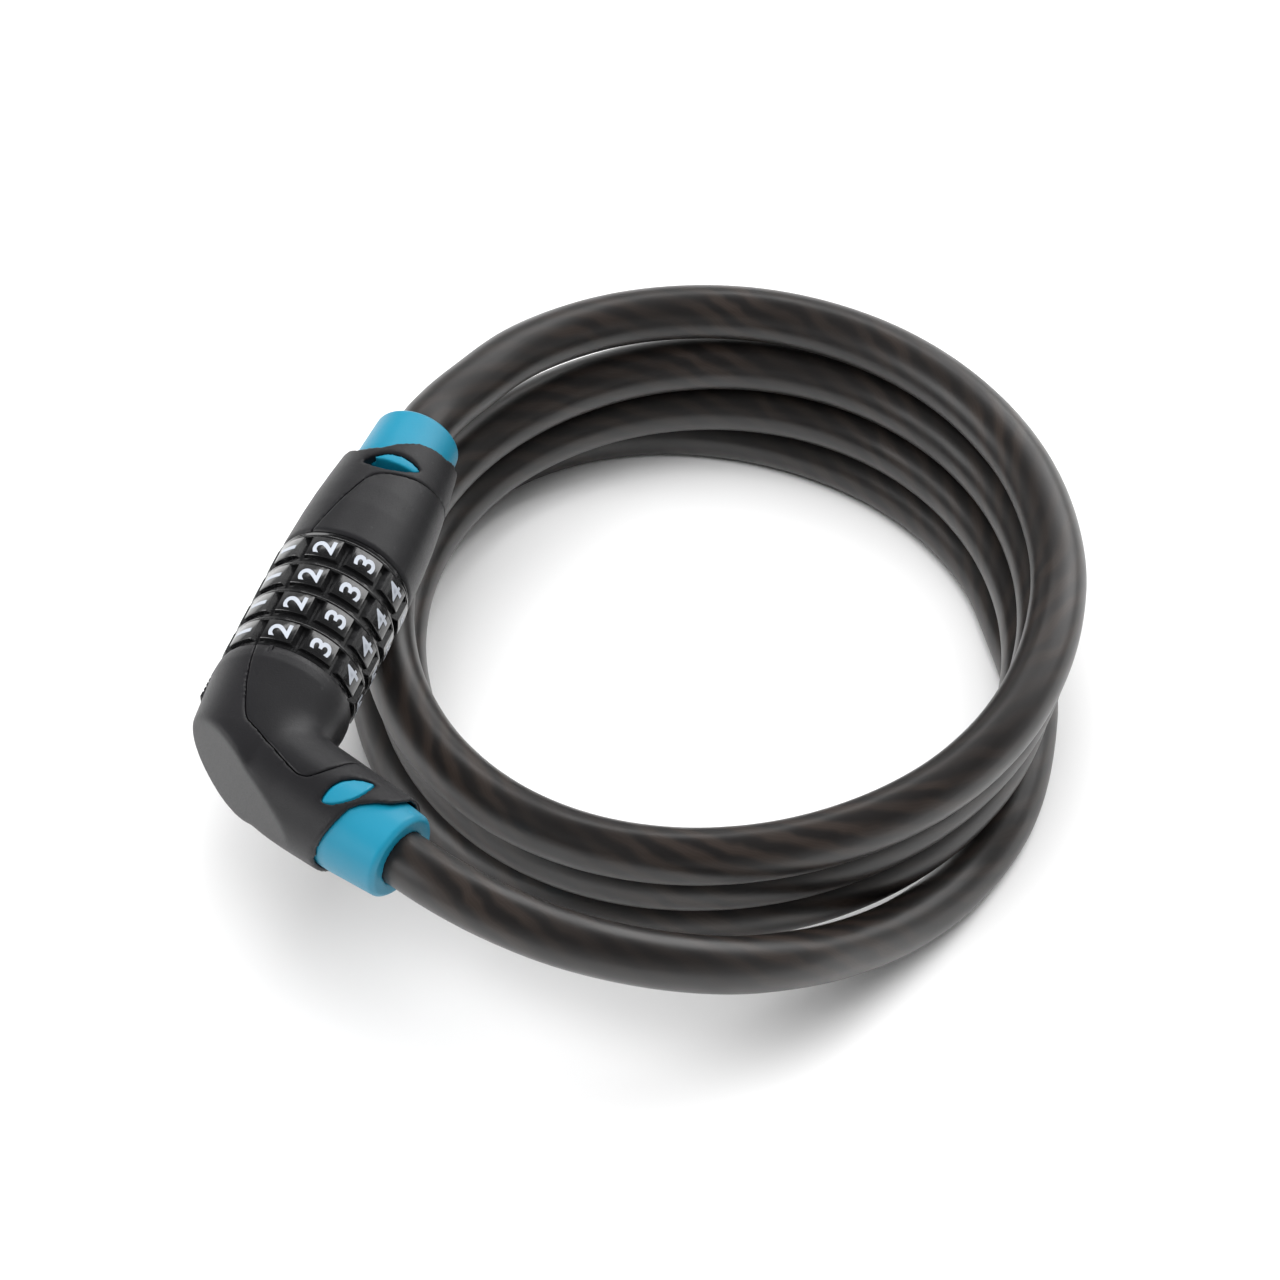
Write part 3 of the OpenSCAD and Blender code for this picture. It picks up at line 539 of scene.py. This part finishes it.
def moulded_copy(name, source, voxel, soften=None, passes=0, ease=2):
    """Copy of a CAD node as an even skin, smoothed lightly all over and more where soften says."""
    piece = add_piece(name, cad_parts[source].data.copy())
    piece.data.materials.clear()
    use_only(piece)
    bpy.ops.object.mode_set(mode="EDIT")
    bpy.ops.mesh.select_all(action="SELECT")
    bpy.ops.mesh.remove_doubles(threshold=1e-6)
    bpy.ops.object.mode_set(mode="OBJECT")
    skin = piece.modifiers.new("skin", "REMESH")
    skin.mode, skin.voxel_size, skin.adaptivity = "VOXEL", voxel * MM, 0.0
    apply_modifiers(piece)
    if soften:
        softer = piece.vertex_groups.new(name="softer")
        for vertex in piece.data.vertices:
            weight = soften(vertex.co)
            if weight > LEAST_WEIGHT:
                softer.add([vertex.index], weight, "REPLACE")
        broad = piece.modifiers.new("broad", "SMOOTH")
        broad.factor, broad.iterations, broad.vertex_group = 0.5, passes, "softer"
    light = piece.modifiers.new("light", "SMOOTH")
    light.factor, light.iterations = 0.5, ease
    apply_modifiers(piece)
    piece.vertex_groups.clear()
    use_only(piece)
    bpy.ops.object.shade_smooth()
    return piece


print("moulded copies ready")


# %% Places of the soft edges, in millimetres
FLAT_TURN, FLAT_REACH = radians(146), 6.1
FLAT_EDGE = 1.8
BEND_MIDDLE, PAST_BEND = 10, -40
WINDOW_SIDE = 6
WINDOW_RIM = 0.22
ELBOW_EYE_AT, ELBOW_EYE_TURN, ELBOW_EYE_SIZE = (0, 27.1), radians(-27.5), (6.3, 2.9)
PLUG_EYE_AT, PLUG_EYE_TURN, PLUG_EYE_SIZE = (1.4, COVER_REACH - 12.3), radians(15), (6.6, 2.8)


def near_flat(point):
    """1 on and beside the flat on the outer side of the bend, 0 away from it."""
    x, y, z = in_head(point)
    z += CORNER_REACH
    out = -y * sin(FLAT_TURN) + z * cos(FLAT_TURN) - FLAT_REACH
    if hypot(x, y, z) < BEND_MIDDLE or z < PAST_BEND:
        return 0.0
    return exp(-(out / FLAT_EDGE) ** 2)


def near_window(y, z, at, turn, size):
    """1 on the rim of an eye-shaped window at this place and angle, 0 away from it."""
    y, z = y - at[0], z - at[1]
    u, v = y * cos(turn) + z * sin(turn), -y * sin(turn) + z * cos(turn)
    return exp(-((hypot(u / size[0], v / size[1]) - 1) / WINDOW_RIM) ** 2)


print("the flat is", FLAT_REACH, "mm from the corner's middle")


# %% Elbow shell and its panel
def elbow_soft(point):
    """How strongly the elbow's edges are softened at a point."""
    x, y, z = in_exit(point)
    window = 0.0
    if x > WINDOW_SIDE:
        window = 0.7 * near_window(y, z, ELBOW_EYE_AT, ELBOW_EYE_TURN, ELBOW_EYE_SIZE)
    return max(near_flat(point), window)


def dress(piece, source, material, body):
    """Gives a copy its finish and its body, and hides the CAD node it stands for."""
    piece.data.materials.append(material)
    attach(piece, body)
    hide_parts(source)
    print(piece.name, len(piece.data.polygons), "faces")


elbow_shell = moulded_copy("elbow_housing", "elbow_shell", 0.42, elbow_soft, 30)
elbow_panel = moulded_copy("elbow_cover_panel", "elbow_panel", 0.30)
dress(elbow_shell, "elbow_shell", soft_black, "lock_body")
dress(elbow_panel, "elbow_panel", panel_black, "lock_body")

# %% [markdown]
# Where head and arm meet on the inside of the bend, the mould's steel was rounded, and the light
# goes round it softly. The solid has a line there. Moving the surface would part it from the CAD,
# so only its shading is softened: each normal is averaged with those of its neighbours.

# %% Rounder light on the inside of the bend
BEND_HALF_WIDTH, BLUR_REACH = 6.5, 3.5
NEIGHBOUR_WEIGHT, NEIGHBOUR_STEP = 0.0005, 6
LEAST_LIKENESS = 0.3
POINTS_AT_ONCE = 300


def blur_normals(piece, weigh, reach):
    """Averages the shading normals with those of like neighbours, as far as weigh says."""
    mesh = piece.data
    points = np.array([v.co for v in mesh.vertices]) / MM
    normals = np.array([v.normal for v in mesh.vertices])
    weights = np.array([weigh(v.co) for v in mesh.vertices])
    blurred = normals.copy()
    near = np.flatnonzero(weights > LEAST_WEIGHT)
    around = np.flatnonzero(weights > NEIGHBOUR_WEIGHT)[::NEIGHBOUR_STEP]
    for part in np.array_split(near, max(1, len(near) // POINTS_AT_ONCE)):
        apart = ((points[part] ** 2).sum(1)[:, None] + (points[around] ** 2).sum(1)
                 - 2 * points[part] @ points[around].T)
        like = normals[part] @ normals[around].T > LEAST_LIKENESS
        share = np.exp(-apart / reach ** 2) * like
        mean = share @ normals[around]
        mean /= np.linalg.norm(mean, axis=1)[:, None]
        blurred[part] += weights[part][:, None] * (mean - normals[part])
    blurred /= np.linalg.norm(blurred, axis=1)[:, None]
    mesh.normals_split_custom_set_from_vertices(blurred.tolist())
    return len(near)


def inner_bend(point):
    """1 along the line where head and arm meet on the inside of the bend, 0 away from it."""
    x, y = point[0] / MM - CORNER[0], point[1] / MM - CORNER[1]
    half = (pi - ELBOW_TURN) / 2
    inward, across = x * sin(half) + y * cos(half), -x * cos(half) + y * sin(half)
    return exp(-(across / BEND_HALF_WIDTH) ** 4) if inward > 0 else 0.0


blurred_points = blur_normals(elbow_panel, inner_bend, BLUR_REACH)
print("normals blurred at", blurred_points, "points of the panel")

# %% [markdown]
# The plug's cover is moulded like the elbow, and gets the same even skin. The sleeves are rubber,
# softer to the eye than the housings, so their edges are eased once more.

# %% Plug cover and its panel
def plug_soft(point):
    """How strongly the plug cover's edges are softened at a point."""
    x, y, z = in_head(point)
    if x < WINDOW_SIDE:
        return 0.0
    return 0.8 * near_window(y, z, PLUG_EYE_AT, PLUG_EYE_TURN, PLUG_EYE_SIZE)


plug_cover = moulded_copy("plug_housing", "plug_cover", 0.40, plug_soft, 16)
plug_panel = moulded_copy("plug_cover_panel", "plug_panel", 0.30)
dress(plug_cover, "plug_cover", soft_black, "plug")
dress(plug_panel, "plug_panel", panel_black, "plug")

# %% Blue sleeves
exit_sleeve = moulded_copy("exit_blue_sleeve", "exit_sleeve", 0.32, ease=3)
plug_sleeve = moulded_copy("plug_blue_sleeve", "plug_sleeve", 0.32, ease=3)
dress(exit_sleeve, "exit_sleeve", sleeve_blue, "lock_body")
dress(plug_sleeve, "plug_sleeve", sleeve_blue, "plug")

# %% [markdown]
# A dial is a turned ring with ten raised pads. Its edges are small and crisp, so a bevel suits it
# better than a remesh. The four dials are alike, but each turns on its own, so each is a piece of
# its own, made from its own node.

# %% Dials
DIALS = range(1, 5)
EDGE_RADIUS = 0.14
SAME_FACE, EDGE_FROM = radians(1), radians(25)


def bevelled_copy(name, source):
    """Copy of a CAD node with its flat faces joined again and a small radius on its edges."""
    piece = add_piece(name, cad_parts[source].data.copy())
    piece.data.materials.clear()
    use_only(piece)
    bpy.ops.object.mode_set(mode="EDIT")
    bpy.ops.mesh.select_all(action="SELECT")
    bpy.ops.mesh.remove_doubles(threshold=2e-6)
    bpy.ops.mesh.dissolve_limited(angle_limit=SAME_FACE)
    bpy.ops.object.mode_set(mode="OBJECT")
    bevel = piece.modifiers.new("edges", "BEVEL")
    bevel.width, bevel.segments = EDGE_RADIUS * MM, 2
    bevel.limit_method, bevel.angle_limit = "ANGLE", EDGE_FROM
    bevel.harden_normals = True
    apply_modifiers(piece)
    return piece


for k in DIALS:
    piece = bevelled_copy(f"number_wheel_{k}", f"dial_{k}")
    dress(piece, f"dial_{k}", dial_black, f"number_dial_{k}")

# %% [markdown]
# The numbers are printed on the pads. Each is a text made into a mesh, cut into narrow strips so
# that it can follow the dial's curve, then laid on the pad a few hundredths of a millimetre proud.
# On this lock the tops of the numbers point away from the coil.

# %% Numbers
GLYPH_SIZE, GLYPH_WIDTH = 6.5, 1.2
STROKE, STROKE_OF_4 = 0.12, 0.06
STRIP, STRIPS_UP = 0.35, 8
OFF_CORNERS = 0.01
PAD_STEP = 36
PAD_OF_3 = 28.3
FIRST_PAD = PAD_OF_3 - 3 * PAD_STEP


def number_mesh(digit):
    """Flat number, in mm round its own middle, cut into strips across its height."""
    text = bpy.data.curves.new(f"text_{digit}", "FONT")
    text.body, text.size = str(digit), GLYPH_SIZE
    text.offset = STROKE_OF_4 if digit == 4 else STROKE
    text.align_x, text.align_y = "CENTER", "CENTER"
    text.resolution_u = 8
    piece = add_piece(f"glyph_{digit}", text)
    use_only(piece)
    bpy.ops.object.convert(target="MESH")
    piece = bpy.context.object
    bpy.ops.object.mode_set(mode="EDIT")
    for cut in range(-STRIPS_UP, STRIPS_UP + 1):
        bpy.ops.mesh.select_all(action="SELECT")
        bpy.ops.mesh.bisect(plane_co=(0, STRIP * cut + OFF_CORNERS, 0), plane_no=(0, 1, 0))
    bpy.ops.mesh.select_all(action="SELECT")
    bpy.ops.mesh.remove_doubles(threshold=1e-4)
    bpy.ops.object.mode_set(mode="OBJECT")
    points = np.array([v.co for v in piece.data.vertices])
    points[:, 0] *= GLYPH_WIDTH
    points -= (points.min(0) + points.max(0)) / 2
    faces = [tuple(p.vertices) for p in piece.data.polygons]
    bpy.data.objects.remove(piece)
    return points, faces


glyphs = [number_mesh(d) for d in range(10)]
print("number 3 is", np.round(np.ptp(glyphs[3][0], axis=0)[:2], 2), "mm")

# %% Numbers laid on each dial
PRINT_UP = 0.03
PRINT_ASIDE = 0.15
INK = 0.1
PRINT_R = DIAL_R + PRINT_UP
for k in DIALS:
    dial_y = (2.5 - k) * DIAL_PITCH + PRINT_ASIDE
    points, faces = [], []
    for digit, (flat, parts) in enumerate(glyphs):
        first = len(points)
        pad = radians(FIRST_PAD + PAD_STEP * digit)
        for gx, gy, _ in flat:
            turn = pad - gy / DIAL_R
            points.append((HEAD + [PRINT_R * sin(turn), dial_y + gx, PRINT_R * cos(turn)]) * MM)
        faces += [tuple(first + i for i in part) for part in parts]
    mesh = bpy.data.meshes.new(f"numbers_{k}")
    mesh.from_pydata(points, [], faces)
    piece = add_piece(f"numbers_{k}", mesh)
    thick = piece.modifiers.new("ink", "SOLIDIFY")
    thick.thickness, thick.offset = INK * MM, -1
    apply_modifiers(piece)
    piece.data.materials.append(number_white)
    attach(piece, f"number_dial_{k}")
    print(piece.name, len(piece.data.polygons), "faces")

# %% [markdown]
# The small parts and the parts inside show little of themselves, so they keep the shape they have
# in the CAD. A list says which finish goes on which of them.

# %% Small parts and the parts inside
finishes = {
    "mouth_ring": disc_black, "dial_discs": disc_black, "index_mark": panel_black,
    "change_tab": soft_black, "detent_spring": spring_steel,
    "core_tube": core_zinc, "plug_core": core_zinc, "core_pin": pin_steel, "exit_pin": pin_steel,
    "plug_pin": pin_steel, "exit_ferrule": ferrule_alloy, "plug_ferrule": ferrule_alloy,
    "locking_bolt": bolt_steel, "exit_cable_end": soft_black, "plug_cable_end": soft_black,
    **{f"gate_ring_{k}": gate_brass for k in DIALS}}
for name, material in finishes.items():
    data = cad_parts[name].data
    if not data.materials:
        data.materials.append(material)
    for i in range(len(data.materials)):
        data.materials[i] = material
print(len(finishes), "CAD nodes finished")

# %% [markdown]
# The small spring behind the code-change tab has to shorten when the tab is pressed. Here it is
# a plain copy of its node, with a mesh of its own.

# %% Spring behind the tab
spring = add_piece("change_spring_wire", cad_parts["change_spring"].data.copy())
spring.data.materials.clear()
dress(spring, "change_spring", spring_steel, "lock_body")
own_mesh(spring)

# %% [markdown]
# Black plastic shows its shape only by what it reflects. The studio is a pale table with a bright
# band of light all round at the height of the horizon and a dim ceiling: the far edges of each
# piece shine, and the tops stay deep. A wide lamp above lights the table and the colours, and is
# left out of the reflections, because it would lay a grey sheen on every black piece. A long strip
# behind the lock is there for its reflection: it draws a thin line of light along the cable.

# %% Table
TABLE_BELOW = 0.00005
floor_mesh = bpy.data.meshes.new("table")
floor_mesh.from_pydata([(-4, -4, 0), (4, -4, 0), (4, 4, 0), (-4, 4, 0)], [], [(0, 1, 2, 3)])
table = add_piece("table", floor_mesh)
table.location.z = -TABLE_BELOW
table_white, tree, shader = new_material("table_white")
shader.inputs["Base Color"].default_value = (0.88, 0.88, 0.88, 1)
shader.inputs["Roughness"].default_value = 0.95
shader.inputs["Specular IOR Level"].default_value = 0.1
table.data.materials.append(table_white)
print("table laid")


# %% Soft lamps
def soft_lamp(name, place, aim, size, power, mirrored=True):
    """Rectangular area lamp at a place, turned to a point."""
    data = bpy.data.lights.new(name, "AREA")
    data.shape, data.size, data.size_y, data.energy = "RECTANGLE", size[0], size[1], power
    lamp = bpy.data.objects.new(name, data)
    lamp.location = place
    lamp.rotation_euler = (Vector(aim) - Vector(place)).to_track_quat("-Z", "Y").to_euler()
    lamp.visible_glossy = mirrored
    bpy.context.scene.collection.objects.link(lamp)


soft_lamp("lamp_above", (0, -0.1, 1.6), (0, -0.07, 0), (1.8, 1.8), 45, mirrored=False)
soft_lamp("lamp_left", (-0.9, -0.6, 0.45), (-0.05, -0.12, 0.04), (0.7, 0.5), 3.5)
soft_lamp("lamp_back", (0.5, 1.1, 0.6), (0, -0.05, 0.03), (1.2, 0.5), 6)
soft_lamp("lamp_strip", (-0.07, 0.95, 0.95), (-0.07, -0.12, 0.05), (1.6, 0.3), 5)
print("lamps hung")

# %% Band of light in the sky
SKY_LEVELS = ((0.0, 0.04), (0.47, 0.07), (0.54, 0.60), (0.67, 0.42), (0.80, 0.12), (1.0, 0.08))
sky = bpy.data.worlds.new("sky")
sky.use_nodes = True
tree = sky.node_tree
way = node(tree, "ShaderNodeTexCoord").outputs["Generated"]
rise = node(tree, "ShaderNodeSeparateXYZ", {0: way}).outputs[2]
height = node(tree, "ShaderNodeMath", {0: rise, 1: 0.5, 2: 0.5}, operation="MULTIPLY_ADD")
band = node(tree, "ShaderNodeValToRGB", {"Fac": height.outputs[0]}).color_ramp
for place, level in SKY_LEVELS:
    if place == 0:
        stop = band.elements[0]
    elif place == 1:
        stop = band.elements[-1]
    else:
        stop = band.elements.new(place)
    stop.color = (level, level, level, 1)
tree.links.new(tree.nodes["Color Ramp"].outputs["Color"], tree.nodes["Background"].inputs["Color"])
tree.nodes["Background"].inputs["Strength"].default_value = 1.0
bpy.context.scene.world = sky
bpy.context.scene.view_settings.view_transform = "Standard"
print("sky has", len(band.elements), "levels of light")
